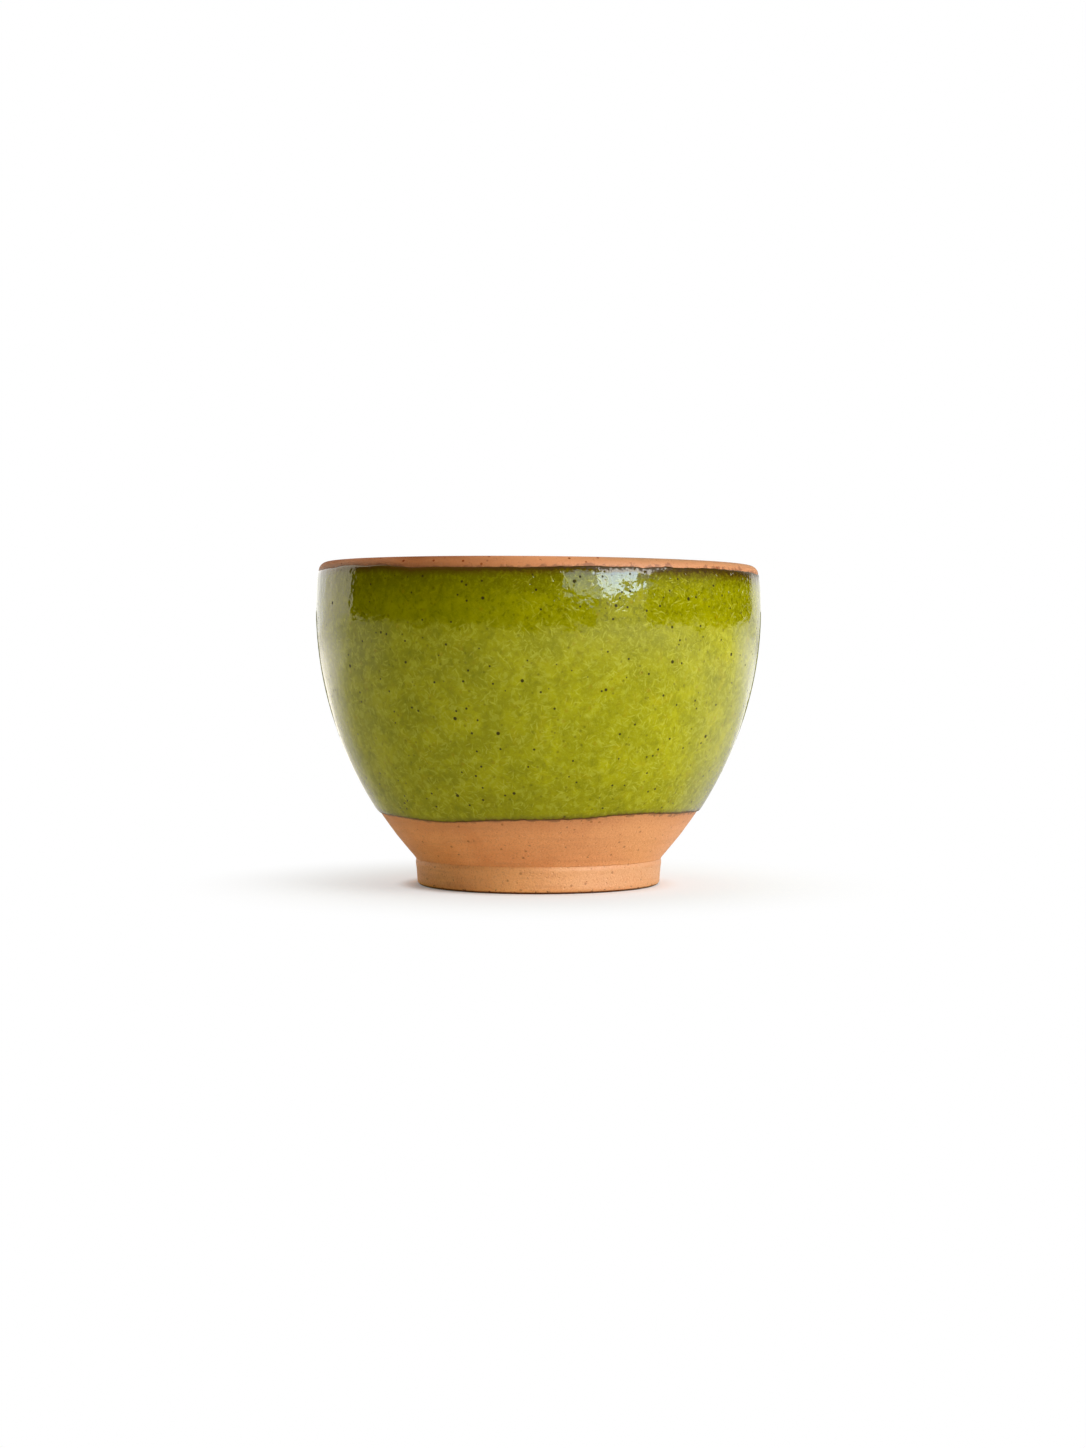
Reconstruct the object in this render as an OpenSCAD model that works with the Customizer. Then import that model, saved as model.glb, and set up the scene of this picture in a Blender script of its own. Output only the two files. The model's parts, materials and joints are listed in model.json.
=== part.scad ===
// Handleless cup on a turned foot. A bowl of red clay is thrown on the wheel, a ring of the same
// clay is joined under it and turned, and the cup is dipped in green glaze and lined with it.
// The lip, the hem of the side and the foot stay bare clay.
// Millimetres. The cup stands on z = 0, its axis is the z axis and its front faces -y.

/* [Bowl] */
// Widest diameter of the clay, under the glaze
belly_d = 99.2; // [90:0.1:112]
// Height of the widest point above the table
belly_h = 62.2; // [52:0.1:74]
// Height of the rim above the widest point
brim_h = 10.2; // [7:0.1:16]
// Angle of the side where it leaves the foot, from upright
flare_angle = 42; // [30:0.5:50]
// Radius of the nearly upright curve above the widest point
upper_curve_r = 160; // [90:1:400]
// Thickness of the wall at the widest point
side_wall = 4.2; // [3:0.1:5.5]
// Thickness of the rounded lip
lip_wall = 4; // [3:0.1:5]
// Thickness of the floor in the middle
floor_wall = 4.4; // [3.5:0.1:7]

/* [Foot] */
// Height of the foot ring, up to its joint with the bowl
foot_h = 5.9; // [4.5:0.1:9]
// Diameter of the ring at its bead
foot_d = 55.6; // [48:0.1:64]
// Width of the ring where it carries the bowl
foot_wall = 6; // [4.5:0.1:8]
// How much narrower the ring is towards the table, on each side
foot_taper = 0.5; // [0:0.1:1.2]
// How far the hollow of the foot widens towards the table, on each side
hollow_flare = 0.8; // [0:0.1:1.2]
// How far the ceiling of the hollow is domed
hollow_rise = 0.7; // [0.1:0.1:1.5]
// Radius of the ring's outer edge on the table
outer_edge_r = 1.4; // [0.6:0.1:1.6]
// Radius of the ring's inner edge on the table
inner_edge_r = 1; // [0.4:0.1:1.2]
// Radius of the bead under the joint
bead_r = 1.2; // [0.7:0.1:1.6]
// Depth of the line pressed into the joint, behind the bead
joint_line = 0.3; // [0.2:0.1:0.6]

/* [Glaze] */
// Thickness of the coat on the outside
coat = 0.42; // [0.3:0.02:0.7]
// Thickness of the lining on the inside
lining = 0.4; // [0.3:0.02:0.7]
// Mean height of the coat's hem above the table
hem_h = 17; // [13:0.1:26]
// Largest rise or fall of the hem
hem_wander = 1.3; // [0.2:0.1:2]
// Mean width of the lip that the coat leaves bare, below the rim
bare_lip = 2.4; // [1.8:0.1:4]
// Largest rise or fall of the coat's upper edge
lip_wander = 0.7; // [0.1:0.1:0.8]
// Mean width of the lip that the lining leaves bare
bare_inside = 2.2; // [1.8:0.1:4]
// Depth below the rim over which both coats run thin
thin_h = 9; // [5:0.5:14]

/* [Hidden] */

clay = "#cf8a5a";
clay_dark = "#c47e50";
green = "#88951a";
green_dark = "#76841a";

// Steps of the round forms, of the profile's curves and of the small edges
turn_steps = 72;
curve_steps = 18;
edge_steps = 6;
// Steps of a glaze line round the cup
line_steps = 72;

// How far the curves' handles reach, as shares of the height or radius that they cross
side_foot_share = 0.49;
side_belly_share = 0.25;
inner_belly_share = 0.56;
inner_floor_share = 0.7;
inner_lip_share = 0.4;

// What is left of a coat's thickness at its upper edge
thin_share = 0.5;
// How steeply a coat's edge is feathered, as rise over run
feather_share = 0.5;

// Waves of a glaze line: how many go round the cup, their share of the wander, and the angle
// from the front at which the first one starts to rise
hem_wave_shares = [[1, 0.35, 0], [3, 0.38, 0], [5, 0.1, 36], [8, 0.12, 22]];
coat_wave_shares = [[1, 0.4, 150], [2, 0.3, 215], [5, 0.2, 12], [11, 0.1, 20]];
lining_wave_shares = [[1, 0.35, 60], [3, 0.35, 25], [7, 0.2, 10], [10, 0.1, 0]];

cup_h = belly_h + brim_h;
belly_r = belly_d / 2;
bead_outer_r = foot_d / 2;
joint_r = bead_outer_r - joint_line;
hollow_r = bead_outer_r - foot_wall;
hollow_top = foot_h + hollow_rise;
floor_h = hollow_top + floor_wall;

// The lip is a half round whose circle sits inside the upper curve, tangent to it
lip_r = lip_wall / 2;
lip_z = cup_h - lip_r;
lip_lean = asin((lip_z - belly_h) / (upper_curve_r - lip_r));
lip_axis_r = belly_r - upper_curve_r + (upper_curve_r - lip_r) * cos(lip_lean);

// Reach of the rings that trim the glaze, clear of every wall
trim_inner_r = hollow_r;
trim_outer_r = belly_r + lip_wall;
trim_top = cup_h + lip_wall;

// Points on a circle's arc in the profile plane
function arc(centre, r, from, to, steps) =
    [for (i = [0 : steps])
        let (a = from + (to - from) * i / steps)
        centre + r * [cos(a), sin(a)]];

// Points on a curve that leaves start towards pull_a and comes to end from pull_b
function curve(start, pull_a, pull_b, end, steps) =
    [for (i = [0 : steps])
        let (t = i / steps, s = 1 - t)
        s * s * s * start + 3 * s * s * t * pull_a + 3 * s * t * t * pull_b + t * t * t * end];

function without_first(path) = [for (i = [1 : len(path) - 1]) path[i]];
function reversed(path) = [for (i = [len(path) - 1 : -1 : 0]) path[i]];

// Direction that faces out of the clay at point i of a path that climbs the outside
function facing(path, i) =
    let (step = path[min(i + 1, len(path) - 1)] - path[max(i - 1, 0)])
    [step[1], -step[0]] / norm(step);

// The side, from the joint with the foot up to the widest point
foot_joint = [joint_r, foot_h];
widest = [belly_r, belly_h];
side_rise = belly_h - foot_h;
side = curve(foot_joint,
    foot_joint + side_foot_share * side_rise * [sin(flare_angle), cos(flare_angle)],
    widest - [0, side_belly_share * side_rise],
    widest, curve_steps);

// The outside as far as the start of the lip, and on over the lip's outer half
upper = arc([belly_r - upper_curve_r, belly_h], upper_curve_r, 0, lip_lean, edge_steps);
outer_lip = arc([lip_axis_r, lip_z], lip_r, lip_lean, 90, edge_steps);
outside = concat(side, without_first(upper), without_first(outer_lip));

// The inside, from the top of the lip down to the middle of the floor
inner_lip = arc([lip_axis_r, lip_z], lip_r, 90, 180, edge_steps);
inner_start = [lip_axis_r - lip_r, lip_z];
inner_belly = [belly_r - side_wall, belly_h];
floor_middle = [0, floor_h];
inner_neck = curve(inner_start,
    inner_start - [0, inner_lip_share * (lip_z - belly_h)],
    inner_belly + [0, inner_lip_share * (lip_z - belly_h)],
    inner_belly, edge_steps);
inner_bowl = curve(inner_belly,
    inner_belly - [0, inner_belly_share * (belly_h - floor_h)],
    floor_middle + [inner_floor_share * inner_belly[0], 0],
    floor_middle, curve_steps);
inside = concat(inner_lip, without_first(inner_neck), without_first(inner_bowl));

// The turned ceiling of the hollow foot, from the axis out to the ring
hollow_ceiling = [for (i = [0 : edge_steps])
    let (share = i / edge_steps)
    [share * hollow_r, hollow_top - hollow_rise * share * share]];

// Thickness of a coat at height z, thinning towards the rim
function coat_at(z, full) =
    let (run_thin = min(max((z - cup_h + thin_h) / thin_h, 0), 1))
    full * (1 - (1 - thin_share) * run_thin);

// Closed outline of a coat that lies on a path, none of it across the axis
function coat_outline(path, full) =
    concat(path, reversed([for (i = [0 : len(path) - 1])
        let (face = path[i] + coat_at(path[i][1], full) * facing(path, i))
        [max(face[0], 0), face[1]]]));

// A path as pairs of height and radius, in rising order
function heights(path) = [for (p = path) [p[1], p[0]]];
outer_wall = heights(outside);
inner_wall = heights(reversed(inside));

// The lines where the glaze ends: mean height, wander and waves
hem_line = [hem_h, hem_wander, hem_wave_shares];
coat_line = [cup_h - bare_lip, lip_wander, coat_wave_shares];
lining_line = [cup_h - bare_inside, lip_wander, lining_wave_shares];

// Height of a line at an angle from the front
function line_at(line, angle) =
    line[0] + line[1] * [for (w = line[2]) w[1]] * [for (w = line[2]) sin(w[0] * (angle - w[2]))];

// Heights round the cup of a feathered edge at radius r, where it meets the wall on its line
function edge_at(line, wall, slope_share, r) =
    [for (i = [0 : line_steps - 1])
        let (z = line_at(line, 360 * i / line_steps))
        z + slope_share * (r - lookup(z, wall))];

// The same edge at both radii of a trimming ring, and a level edge for a ring's plain side
function edge(line, wall, slope_share) =
    [for (r = [trim_inner_r, trim_outer_r]) edge_at(line, wall, slope_share, r)];
function level(z) = [for (r = [trim_inner_r, trim_outer_r]) [for (i = [1 : line_steps]) z]];

// A ring round the cup between a lower and an upper edge, for trimming a coat
module trimming_ring(low, high) {
    function at(r, z, i) =
        let (a = 360 * i / line_steps - 90)
        [r * cos(a), r * sin(a), z];
    corners = [for (i = [0 : line_steps - 1]) each [
        at(trim_inner_r, low[0][i], i),
        at(trim_outer_r, low[1][i], i),
        at(trim_outer_r, high[1][i], i),
        at(trim_inner_r, high[0][i], i)]];
    faces = [for (i = [0 : line_steps - 1], k = [0 : 3])
        let (here = 4 * i, there = 4 * ((i + 1) % line_steps), m = (k + 1) % 4)
        each [[here + k, there + m, there + k], [here + k, here + m, there + m]]];
    polyhedron(corners, faces);
}

module cup_body() {
    color(clay)
        rotate_extrude($fn = turn_steps)
            polygon(concat(outside, without_first(inside), hollow_ceiling));
}

module foot_ring() {
    base_outer_r = bead_outer_r - foot_taper;
    base_inner_r = hollow_r + hollow_flare;
    bead_turn = acos(1 - joint_line / bead_r);
    bead_centre = [bead_outer_r - bead_r, foot_h - bead_r * sin(bead_turn)];
    side_lean = atan(foot_taper / (bead_centre[1] - outer_edge_r));
    color(clay_dark)
        rotate_extrude($fn = turn_steps)
            polygon(concat(
                arc([base_outer_r - outer_edge_r, outer_edge_r], outer_edge_r,
                    -90, -side_lean, edge_steps),
                arc(bead_centre, bead_r, -side_lean, bead_turn, edge_steps),
                [[hollow_r, foot_h]],
                arc([base_inner_r + inner_edge_r, inner_edge_r], inner_edge_r,
                    180, 270, edge_steps)));
}

module outer_glaze() {
    color(green)
        intersection() {
            rotate_extrude($fn = turn_steps)
                polygon(coat_outline(outside, coat));
            trimming_ring(edge(hem_line, outer_wall, feather_share),
                edge(coat_line, outer_wall, -feather_share));
        }
}

module inner_glaze() {
    color(green_dark)
        difference() {
            rotate_extrude($fn = turn_steps)
                polygon(coat_outline(inside, lining));
            trimming_ring(edge(lining_line, inner_wall, feather_share), level(trim_top));
        }
}

cup_body();
foot_ring();
outer_glaze();
inner_glaze();
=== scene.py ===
import json
import math
from bisect import bisect_left

import bpy
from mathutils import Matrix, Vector, noise

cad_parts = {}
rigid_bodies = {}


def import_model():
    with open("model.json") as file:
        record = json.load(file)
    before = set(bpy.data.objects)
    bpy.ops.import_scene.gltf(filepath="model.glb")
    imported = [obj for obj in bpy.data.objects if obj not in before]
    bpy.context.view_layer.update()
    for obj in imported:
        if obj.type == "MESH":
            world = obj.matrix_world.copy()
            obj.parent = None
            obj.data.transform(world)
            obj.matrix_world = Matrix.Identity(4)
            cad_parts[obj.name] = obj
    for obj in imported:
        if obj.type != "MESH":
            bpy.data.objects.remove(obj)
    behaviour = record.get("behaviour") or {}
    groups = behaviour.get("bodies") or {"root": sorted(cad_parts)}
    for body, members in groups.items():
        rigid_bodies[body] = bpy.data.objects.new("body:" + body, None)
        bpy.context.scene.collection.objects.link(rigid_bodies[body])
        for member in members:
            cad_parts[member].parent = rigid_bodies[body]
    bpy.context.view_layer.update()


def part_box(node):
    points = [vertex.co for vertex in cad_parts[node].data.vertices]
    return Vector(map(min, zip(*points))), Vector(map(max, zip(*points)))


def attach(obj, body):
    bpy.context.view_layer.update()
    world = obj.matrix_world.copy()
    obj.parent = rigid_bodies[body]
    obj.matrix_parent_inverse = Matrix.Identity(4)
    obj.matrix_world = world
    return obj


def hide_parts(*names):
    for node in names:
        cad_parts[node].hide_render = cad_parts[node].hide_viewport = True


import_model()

mm = 0.001


# The thrown bowl: one wall of red clay, drawn up on the wheel from a thick floor to a rounded lip.
# Its profile is drawn in millimetres as radius and height, spun round the axis, and then left as
# uneven as hands leave it. Rings of the mesh follow the lines where the glaze will end.
bowl_low, bowl_high = (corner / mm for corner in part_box("cup_body"))
belly_r = bowl_high.x
rim_h = bowl_high.z
joint_h = bowl_low.z
belly_h = 62.2
joint_r = 27.5
foot_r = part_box("foot_ring")[1].x / mm
hollow_r = 21.8
hollow_rise = 0.7
floor_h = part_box("inner_glaze")[0].z / mm
wall = 4.2
lip_r = 2.0
upper_curve_r = 160.0
flare = math.radians(42)
# a distance too small to matter
hair = 0.001

# How far the handles of the profile's curves reach, as shares of what they cross
side_foot_share = 0.49
side_belly_share = 0.25
inner_lip_share = 0.4
inner_belly_share = 0.56
inner_floor_share = 0.7

# Points on each stretch of the wall's two faces, close enough to read off any height
side_points = 800
upper_points = 100
lip_points = 120
neck_points = 200
bowl_points = 900

# Where the glaze ends: mean height, wander, and its waves as turns round the cup, share of the
# wander and the bearing in degrees where the wave starts to rise, counted from the front
hem_line = (16.6, 1.3, ((1, 0.35, 0), (3, 0.38, 0), (5, 0.1, 36), (8, 0.12, 22)))
coat_line = (rim_h - 2.4, 0.7, ((1, 0.4, 150), (2, 0.3, 215), (5, 0.2, 12), (11, 0.1, 20)))
lining_line = (rim_h - 2.2, 0.7, ((1, 0.35, 60), (3, 0.35, 25), (7, 0.2, 10), (10, 0.1, 0)))


def line_at(line, bearing):
    """Height of a glaze line at a bearing from the front."""
    mean, wander, waves = line
    return mean + wander * sum(
        share * math.sin(turns * (bearing - math.radians(start))) for turns, share, start in waves)


def arc(centre, r, start, end, steps):
    """Points on a circle in the profile, between two angles in degrees."""
    turns = (math.radians(start + (end - start) * k / steps) for k in range(steps + 1))
    return [Vector((centre[0] + r * math.cos(a), centre[1] + r * math.sin(a))) for a in turns]


def curve(start, pull_a, pull_b, end, steps):
    """Points on a curve that leaves start towards pull_a and comes to end from pull_b."""
    a, b, c, d = (Vector(p) for p in (start, pull_a, pull_b, end))
    shares = (k / steps for k in range(steps + 1))
    return [(1 - t) ** 3 * a + 3 * (1 - t) ** 2 * t * b + 3 * (1 - t) * t ** 2 * c + t ** 3 * d
            for t in shares]


# The outside: the side in one sweep from the joint to the widest point, the upper curve, and the
# outer half of the round lip
side_rise = belly_h - joint_h
side_pull = side_foot_share * side_rise
lip_h = rim_h - lip_r
lean = math.degrees(math.asin((lip_h - belly_h) / (upper_curve_r - lip_r)))
lip_axis_r = belly_r - upper_curve_r + (upper_curve_r - lip_r) * math.cos(math.radians(lean))
outside = (
    curve((joint_r, joint_h),
          (joint_r + side_pull * math.sin(flare), joint_h + side_pull * math.cos(flare)),
          (belly_r, belly_h - side_belly_share * side_rise), (belly_r, belly_h), side_points)
    + arc((belly_r - upper_curve_r, belly_h), upper_curve_r, 0, lean, upper_points)[1:]
    + arc((lip_axis_r, lip_h), lip_r, lean, 90, lip_points)[1:])

# The inside: the inner half of the lip, the neck, and the round bowl down to the floor's middle
inner_start = Vector((lip_axis_r - lip_r, lip_h))
inner_belly = Vector((belly_r - wall, belly_h))
neck_pull = Vector((0, inner_lip_share * (lip_h - belly_h)))


def round_bowl(steps):
    """The inside from under its widest point down to the middle of the floor."""
    belly_pull = Vector((0, inner_belly_share * (belly_h - floor_h)))
    return curve(inner_belly, inner_belly - belly_pull,
                 (inner_floor_share * inner_belly.x, floor_h), (0, floor_h), steps)[1:]


inside = (
    arc((lip_axis_r, lip_h), lip_r, 90, 180, lip_points)
    + curve(inner_start, inner_start - neck_pull, inner_belly + neck_pull,
            inner_belly, neck_points)[1:]
    + round_bowl(bowl_points))
inside.reverse()

# The soft fillet that takes the side over into the foot's, up to its reach above the joint, and
# the low ridge that the turning tool left between the foot and the hem
waist_r = foot_r - 0.23
fillet_softness = 0.15
fillet_reach = 5.0
ridge_h = 11.6
ridge_rise = 0.08
ridge_half_width = 0.5


def filleted(point):
    """A point of the side, kept outside the waist by the fillet."""
    gap = point.x - waist_r
    return Vector(((point.x + waist_r + math.hypot(gap, 2 * fillet_softness)) / 2, point.y))


def ridged(point):
    """A point of the side, pushed out where the ridge is."""
    rise = ridge_rise * math.exp(-((point.y - ridge_h) / ridge_half_width) ** 2)
    return Vector((point.x + rise, point.y))


outside = [ridged(filleted(p) if p.y < joint_h + fillet_reach else p) for p in outside]


def travelled(path):
    """Length of a path up to each of its points."""
    lengths = [0.0]
    for a, b in zip(path, path[1:]):
        lengths.append(lengths[-1] + (b - a).length)
    return lengths


def looked_up(keys, values, key):
    """Value at a key between those listed, in rising order."""
    k = min(max(bisect_left(keys, key), 1), len(keys) - 1)
    share = (key - keys[k - 1]) / max(keys[k] - keys[k - 1], 1e-9)
    return values[k - 1] + (values[k] - values[k - 1]) * min(max(share, 0), 1)


class Wall:
    """One face of the wall: its radius and its length from below, at any height."""

    def __init__(self, path):
        self.heights = [p.y for p in path]
        self.radii = [p.x for p in path]
        self.lengths = travelled(path)

    def radius(self, height):
        return looked_up(self.heights, self.radii, height)

    def length(self, height):
        return looked_up(self.heights, self.lengths, height)


outer_wall = Wall(outside)
inner_wall = Wall(inside)


def crowded(low, high, count, share=0.8):
    """Heights from low to high, closer together towards both ends."""
    return [low + (high - low) * ((1 - share) * k / count
                                  + share * (1 - math.cos(math.pi * k / count)) / 2)
            for k in range(count + 1)]


def thrown(name, profile, steps):
    """A piece spun on the wheel from its profile of radius and height."""
    bpy.ops.object.select_all(action="DESELECT")
    bpy.ops.mesh.primitive_plane_add(size=mm, location=(0, 0, 0))
    piece = bpy.context.object
    piece.name = name
    bpy.ops.object.mode_set(mode="EDIT")
    bpy.ops.mesh.select_all(action="SELECT")
    bpy.ops.mesh.merge(type="CENTER")
    bpy.ops.transform.translate(value=(profile[0][0] * mm, 0, profile[0][1] * mm))
    for here, there in zip(profile, profile[1:]):
        step = ((there[0] - here[0]) * mm, 0, (there[1] - here[1]) * mm)
        bpy.ops.mesh.extrude_region_move(TRANSFORM_OT_translate={"value": step})
    bpy.ops.object.mode_set(mode="OBJECT")
    turning = piece.modifiers.new("turning", "SCREW")
    turning.steps = turning.render_steps = steps
    turning.use_merge_vertices = True
    turning.merge_threshold = hair * mm
    bpy.ops.object.modifier_apply(modifier="turning")
    bpy.ops.object.mode_set(mode="EDIT")
    bpy.ops.mesh.select_all(action="SELECT")
    bpy.ops.mesh.remove_doubles(threshold=hair * mm)
    bpy.ops.mesh.normals_make_consistent(inside=False)
    bpy.ops.object.mode_set(mode="OBJECT")
    bpy.ops.object.shade_smooth()
    return piece


# Rings of the mesh on each stretch of the profile, the first one above the coat, and the angle
# in degrees at which the round lip goes over into the neck
turn_steps = 640
ceiling_rings = 11
bare_side_rings = 14
coat_rings = 54
lip_rings = 20
neck_rings = 18
round_bowl_rings = 30
ring_above_coat = 0.2
lip_end = 182

ceiling = [(hollow_r * k / ceiling_rings, joint_h + hollow_rise * (1 - (k / ceiling_rings) ** 2))
           for k in range(ceiling_rings + 1)]
outer_heights = (crowded(joint_h, hem_line[0], bare_side_rings)
                 + crowded(hem_line[0], coat_line[0], coat_rings)[1:]
                 + [coat_line[0] + ring_above_coat])
neck_heights = crowded(belly_h, lining_line[0], neck_rings)[::-1]
bowl_profile = (
    ceiling
    + [(outer_wall.radius(h), h) for h in outer_heights]
    + [tuple(p) for p in arc((lip_axis_r, lip_h), lip_r, lean, lip_end, lip_rings)]
    + [(inner_wall.radius(h), h) for h in neck_heights]
    + [tuple(p) for p in round_bowl(round_bowl_rings)])
bowl = thrown("Thrown_bowl", bowl_profile, turn_steps)

# The rim as thrown is highest at the left, level with the frame, and slopes down to the right
rim_tilt = 0.43
tilt_from = 35.0


def let_down(bearing, height):
    """How far the sloping rim lets the wall down at a bearing and height."""
    share = min(max((height - tilt_from) / (rim_h - tilt_from), 0), 1)
    return rim_tilt * (1 + math.sin(bearing)) * share * share * (3 - 2 * share)


# Single dips and climbs of the coat's upper edge: bearing, rise and half width, the first and the
# last in degrees
edge_runs = ((-56, 0.45, 6), (-50, 0.25, 30), (-42, 0.15, 4), (-32, -0.33, 5), (10, 0.3, 8),
             (26.5, -0.25, 4), (48, 0.2, 5), (82, -0.4, 12))

# Irregular bites in the glaze lines: how deep they are on the left and on the right, and their
# sizes along the line
hem_bites = (0.08, 0.1)
coat_bites = (0.06, 0.2)
lining_bites = (0.1, 0.1)
bite_size = 2.3
small_bite_size = 1.0
small_bite_share = 0.6


def ragged(bearing, line, depths, runs=()):
    """A glaze line with its runs and its bites."""
    left, right = depths
    mean_r = outer_wall.radius(line[0])
    place = Vector((mean_r * math.sin(bearing), -mean_r * math.cos(bearing), line[0]))
    bites = (noise.noise(place / bite_size)
             + small_bite_share * noise.noise(place / small_bite_size))
    drawn = sum(rise * math.exp(-((math.degrees(bearing) - middle) / half) ** 2)
                for middle, rise, half in runs)
    return (line_at(line, bearing) + drawn
            + bites * (left + (right - left) * (1 + math.sin(bearing)) / 2))


def shifted(height, marks):
    """A height moved in step with the marks on either side, given as old and new heights."""
    for (low, low_now), (high, high_now) in zip(marks, marks[1:]):
        if height <= high + hair:
            share = (height - low) / (high - low)
            return low_now + (high_now - low_now) * share
    return height


# The rings that throwing left inside, and how far from the lining's edge, the floor's middle and
# the axis they take to come in
throwing_pitch = 6.5
throwing_depth = 0.12
smooth_below_edge = 4.0
edge_fade = 8.0
floor_fade = 12.0
axis_fade = 8.0

# The lining's edge moves the wall's rings down to here, and a point that has no glaze line on its
# own face of the wall keeps this distance from one
neck_low = lining_line[0] - 12
no_line = 99.0

# Every ring is set to its own height: on the hem, the coat's upper edge and the lining's edge it
# follows their lines, and in between it shifts in step with them
above_hem, below_lip, on_outside = [], [], []
lines_at = {}
for vertex in bowl.data.vertices:
    x, y, z = vertex.co / mm
    r = math.hypot(x, y)
    bearing = math.atan2(x, -y)
    key = round(bearing, 4)
    if key not in lines_at:
        lines_at[key] = (
            ragged(bearing, hem_line, hem_bites),
            ragged(bearing, coat_line, coat_bites, edge_runs) + let_down(bearing, coat_line[0]),
            ragged(bearing, lining_line, lining_bites) + let_down(bearing, lining_line[0]))
    hem, coat_top, lining_top = lines_at[key]
    if z < floor_h and r < outer_wall.radius(joint_h) - hair:
        above_hem.append(-no_line)
        below_lip.append(no_line)
        on_outside.append(False)
        continue
    outer = r > (outer_wall.radius(z) + inner_wall.radius(z)) / 2 - hair
    on_outside.append(outer)
    if outer:
        height = shifted(z, ((joint_h, joint_h), (hem_line[0], hem), (coat_line[0], coat_top),
                             (rim_h, rim_h)))
        r = outer_wall.radius(height)
        above_hem.append(outer_wall.length(height) - outer_wall.length(hem))
        below_lip.append(outer_wall.length(coat_top) - outer_wall.length(height))
    else:
        height = shifted(z, ((0, 0), (neck_low, neck_low), (lining_line[0], lining_top),
                             (rim_h, rim_h)))
        along = inner_wall.length(height)
        below = inner_wall.length(lining_top) - along
        fade = (min(max((below - smooth_below_edge) / edge_fade, 0), 1)
                * min(along / floor_fade, 1))
        wave = math.sin(2 * math.pi * along / throwing_pitch + bearing)
        r = inner_wall.radius(height) - fade * throwing_depth * wave * min(r / axis_fade, 1)
        above_hem.append(no_line)
        below_lip.append(below)
    vertex.co = Vector((r * math.sin(bearing), -r * math.cos(bearing),
                        height - let_down(bearing, height))) * mm
bowl.data.update()


def keep_on_points(piece, name, values):
    """Keeps a number on each point of a mesh, for the finishes to read."""
    piece.data.attributes.new(name, "FLOAT", "POINT").data.foreach_set("value", values)


keep_on_points(bowl, "above_hem", above_hem)
keep_on_points(bowl, "below_lip", below_lip)


def node(tree, kind, inputs=None, **settings):
    """A shader node with its settings made and its sockets set or linked."""
    made = tree.nodes.new("ShaderNode" + kind)
    for name, value in settings.items():
        setattr(made, name, value)
    for name, value in (inputs or {}).items():
        if isinstance(value, bpy.types.NodeSocket):
            tree.links.new(value, made.inputs[name])
        else:
            made.inputs[name].default_value = value
    return made


def calc(tree, operation, a, b=0.0):
    """Arithmetic on two numbers."""
    return node(tree, "Math", {0: a, 1: b}, operation=operation).outputs[0]


def times(tree, a, b):
    """One number or share times another."""
    return calc(tree, "MULTIPLY", a, b)


def eased(tree, value, low, high, low_value=0.0, high_value=1.0):
    """A value eased from one number to another as the input goes from low to high."""
    return node(tree, "MapRange", {"Value": value, "From Min": low, "From Max": high,
                                   "To Min": low_value, "To Max": high_value},
                interpolation_type="SMOOTHSTEP").outputs[0]


def mixed(tree, share, a, b):
    """Colour a with a share of colour b."""
    return node(tree, "Mix", {0: share, 6: a, 7: b}, data_type="RGBA").outputs[2]


def in_mm(tree, scale=(1, 1, 1), shift=(0, 0, 0)):
    """Place on the cup in millimetres, drawn out or shifted."""
    place = node(tree, "TexCoord").outputs["Object"]
    return node(tree, "Mapping", {"Vector": place, "Location": shift,
                                  "Scale": tuple(s / mm for s in scale)}).outputs[0]


def along_axis(tree, place, axis):
    """One coordinate of a place."""
    return node(tree, "SeparateXYZ", {0: place}).outputs[axis]


def grain(tree, place, size, detail=2.0, twist=0.0, rough=0.5):
    """Noise whose patches are about the given size in millimetres."""
    return node(tree, "TexNoise", {"Vector": place, "Scale": 1 / size, "Detail": detail,
                                   "Distortion": twist, "Roughness": rough}).outputs[0]


def dots(tree, place, spacing, radius, soft):
    """Dots scattered through the solid: 1 inside, 0 outside, with a soft edge."""
    near = node(tree, "TexVoronoi", {"Vector": place, "Scale": 1 / spacing}).outputs["Distance"]
    return eased(tree, near, (radius - soft) / spacing, (radius + soft) / spacing, 1, 0)


def kept(tree, name):
    """A number kept on the points of the mesh."""
    return node(tree, "Attribute", attribute_name=name).outputs["Fac"]


def relief(tree, height, depth, below=None):
    """Bump from a height between 0 and 1 that stands for a depth in millimetres."""
    inputs = {"Height": height, "Distance": depth * mm, "Strength": 1.0}
    if below is not None:
        inputs["Normal"] = below
    return node(tree, "Bump", inputs).outputs[0]


def new_finish(name):
    """A new material, its nodes and its surface shader."""
    material = bpy.data.materials.new(name)
    material.use_nodes = True
    return material, material.node_tree, material.node_tree.nodes["Principled BSDF"]


# Colours of the clay: turning marks and sand, the lip from left to right with its lower edge, with
# painted shade darkening it and a painted sheen paling its right, what the glaze stains, and small
# dark marks, one of them partly a painted contact shadow
turned_clay = (0.62, 0.22, 0.065, 1)
brick_sand = (0.60, 0.19, 0.05, 1)
light_sand = (0.94, 0.52, 0.27, 1)
lip_left_painted_shade = (0.165, 0.038, 0.002, 1)
lip_middle_painted_shade = (0.675, 0.305, 0.135, 1)
lip_right_painted_sheen = (0.325, 0.205, 0.10, 1)
lip_lower_edge = (0.10, 0.026, 0.003, 1)
stained_clay = (0.56, 0.19, 0.06, 1)
stain_line = (0.26, 0.085, 0.03, 1)
dark_grain = (0.26, 0.06, 0.012, 1)
nick_brown = (0.10, 0.035, 0.015, 1)
contact_shade_and_rub_brown = (0.11, 0.028, 0.014, 1)
speck_brown = (0.22, 0.04, 0.004, 1)

# Radii between which the foot's dark edge on the table comes in: rubbing, and painted contact shadow
contact_shade_and_rub_r = (26.5, 26.75)


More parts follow.
